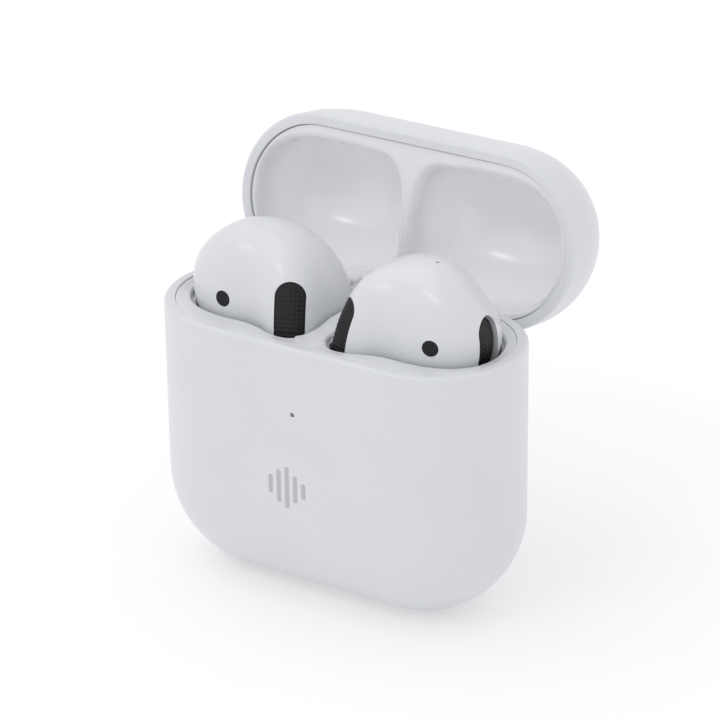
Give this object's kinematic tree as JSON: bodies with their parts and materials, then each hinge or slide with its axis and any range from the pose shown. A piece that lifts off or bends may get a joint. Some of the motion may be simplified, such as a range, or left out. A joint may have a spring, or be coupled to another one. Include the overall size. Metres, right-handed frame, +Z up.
{
  "type": "wireless earbuds case",
  "caption": "Pill-shaped charging case with a hinged lid, wells that hold a pair of stemmed earbuds on sprung contacts, a rear pairing button and a charging socket in the foot.",
  "frame": {"origin": "centre of the flat foot that the case stands on, under the middle of the base", "axes": "+Z up out of the foot, +Y towards the hinge at the back, +X to the right of a person who faces the front"},
  "size_m": [0.05, 0.0425, 0.0555],
  "materials": {
    "shell_white": "smooth white moulding, polished",
    "frame_white": "smooth white moulding",
    "liner_white": "polished white moulding",
    "bud_white": "smooth white moulding, polished",
    "mesh_black": "fine woven mesh, satin black",
    "window_black": "polished black window",
    "plated_steel": "satin plated",
    "screw_steel": "dark zinc plated",
    "nickel": "nickel plated magnet",
    "gold": "gold plated contact",
    "black_plastic": "moulded black resin",
    "circuit_board": "green solder mask",
    "flex_amber": "amber polyimide ribbon",
    "foil": "cell foil",
    "lead_red": "red insulation",
    "lead_black": "black insulation",
    "plunger_red": "moulded red resin",
    "led_yellow": "phosphor under clear resin",
    "lens_clear": "smoked clear resin"
  },
  "bodies": {
    "base": {"base_shell": "shell_white", "inner_frame": "frame_white", "usb_shell": "plated_steel", "usb_tongue": "black_plastic", "main_pcb": "circuit_board", "pcb_chips": "black_plastic", "front_flex": "flex_amber", "status_led": "led_yellow", "light_pipe": "lens_clear", "hall_sensor": "black_plastic", "rear_flex": "flex_amber", "tact_switch": "black_plastic", "case_battery": "foil", "battery_lead_red": "lead_red", "battery_lead_black": "lead_black", "pogo_flex": "flex_amber", "base_magnet": "nickel", "hinge_bracket_base": "plated_steel", "hinge_pin": "plated_steel", "hinge_spring": "plated_steel", "hinge_screws_base": "screw_steel", "bud_magnet_left": "nickel", "bud_magnet_right": "nickel", "ballast_left": "plated_steel", "ballast_right": "plated_steel", "pogo_housing_left": "black_plastic", "pogo_housing_right": "black_plastic"},
    "lid": {"lid_shell": "shell_white", "lid_liner": "liner_white", "lid_magnet": "nickel", "hinge_bracket_lid": "plated_steel", "hinge_screws_lid": "screw_steel"},
    "button": {"pairing_button": "shell_white", "switch_plunger": "plunger_red"},
    "earbud_left": {"head_front_left": "bud_white", "stem_housing_left": "bud_white", "speaker_left": "plated_steel", "inner_grille_left": "mesh_black", "outer_grille_left": "mesh_black", "sensor_window_left": "window_black", "bud_pcb_left": "circuit_board", "bud_battery_left": "foil", "stem_cap_left": "plated_steel", "contacts_left": "gold"},
    "contact_pin_left_inner": {"pogo_pin_left_inner": "gold"},
    "contact_pin_left_outer": {"pogo_pin_left_outer": "gold"},
    "earbud_right": {"head_front_right": "bud_white", "stem_housing_right": "bud_white", "speaker_right": "plated_steel", "inner_grille_right": "mesh_black", "outer_grille_right": "mesh_black", "sensor_window_right": "window_black", "bud_pcb_right": "circuit_board", "bud_battery_right": "foil", "stem_cap_right": "plated_steel", "contacts_right": "gold"},
    "contact_pin_right_inner": {"pogo_pin_right_inner": "gold"},
    "contact_pin_right_outer": {"pogo_pin_right_outer": "gold"}
  },
  "joints": [
    {"name": "lid_hinge", "type": "hinge", "parent": "base", "child": "lid", "pos_m": [0, 0.01028, 0.03452], "axis": [-1, 0, 0], "range_deg": [-101, 0]},
    {"name": "button_press", "type": "slide", "parent": "base", "child": "button", "axis": [0, 1, 0], "range_m": [-0.0004, 0], "stiffness_N_per_m": 600, "springref_m": 0.0003},
    {"name": "lift_left", "type": "slide", "parent": "base", "child": "earbud_left", "axis": [0, 0, 1], "range_m": [0, 0.032]},
    {"name": "lift_right", "type": "slide", "parent": "base", "child": "earbud_right", "axis": [0, 0, 1], "range_m": [0, 0.032]},
    {"name": "contact_left_inner", "type": "slide", "parent": "base", "child": "contact_pin_left_inner", "axis": [0, 0, 1], "range_m": [-0.0005, 0], "stiffness_N_per_m": 80, "springref_m": 0.0005},
    {"name": "contact_left_outer", "type": "slide", "parent": "base", "child": "contact_pin_left_outer", "axis": [0, 0, 1], "range_m": [-0.0005, 0], "stiffness_N_per_m": 80, "springref_m": 0.0005},
    {"name": "contact_right_inner", "type": "slide", "parent": "base", "child": "contact_pin_right_inner", "axis": [0, 0, 1], "range_m": [-0.0005, 0], "stiffness_N_per_m": 80, "springref_m": 0.0005},
    {"name": "contact_right_outer", "type": "slide", "parent": "base", "child": "contact_pin_right_outer", "axis": [0, 0, 1], "range_m": [-0.0005, 0], "stiffness_N_per_m": 80, "springref_m": 0.0005}
  ]
}
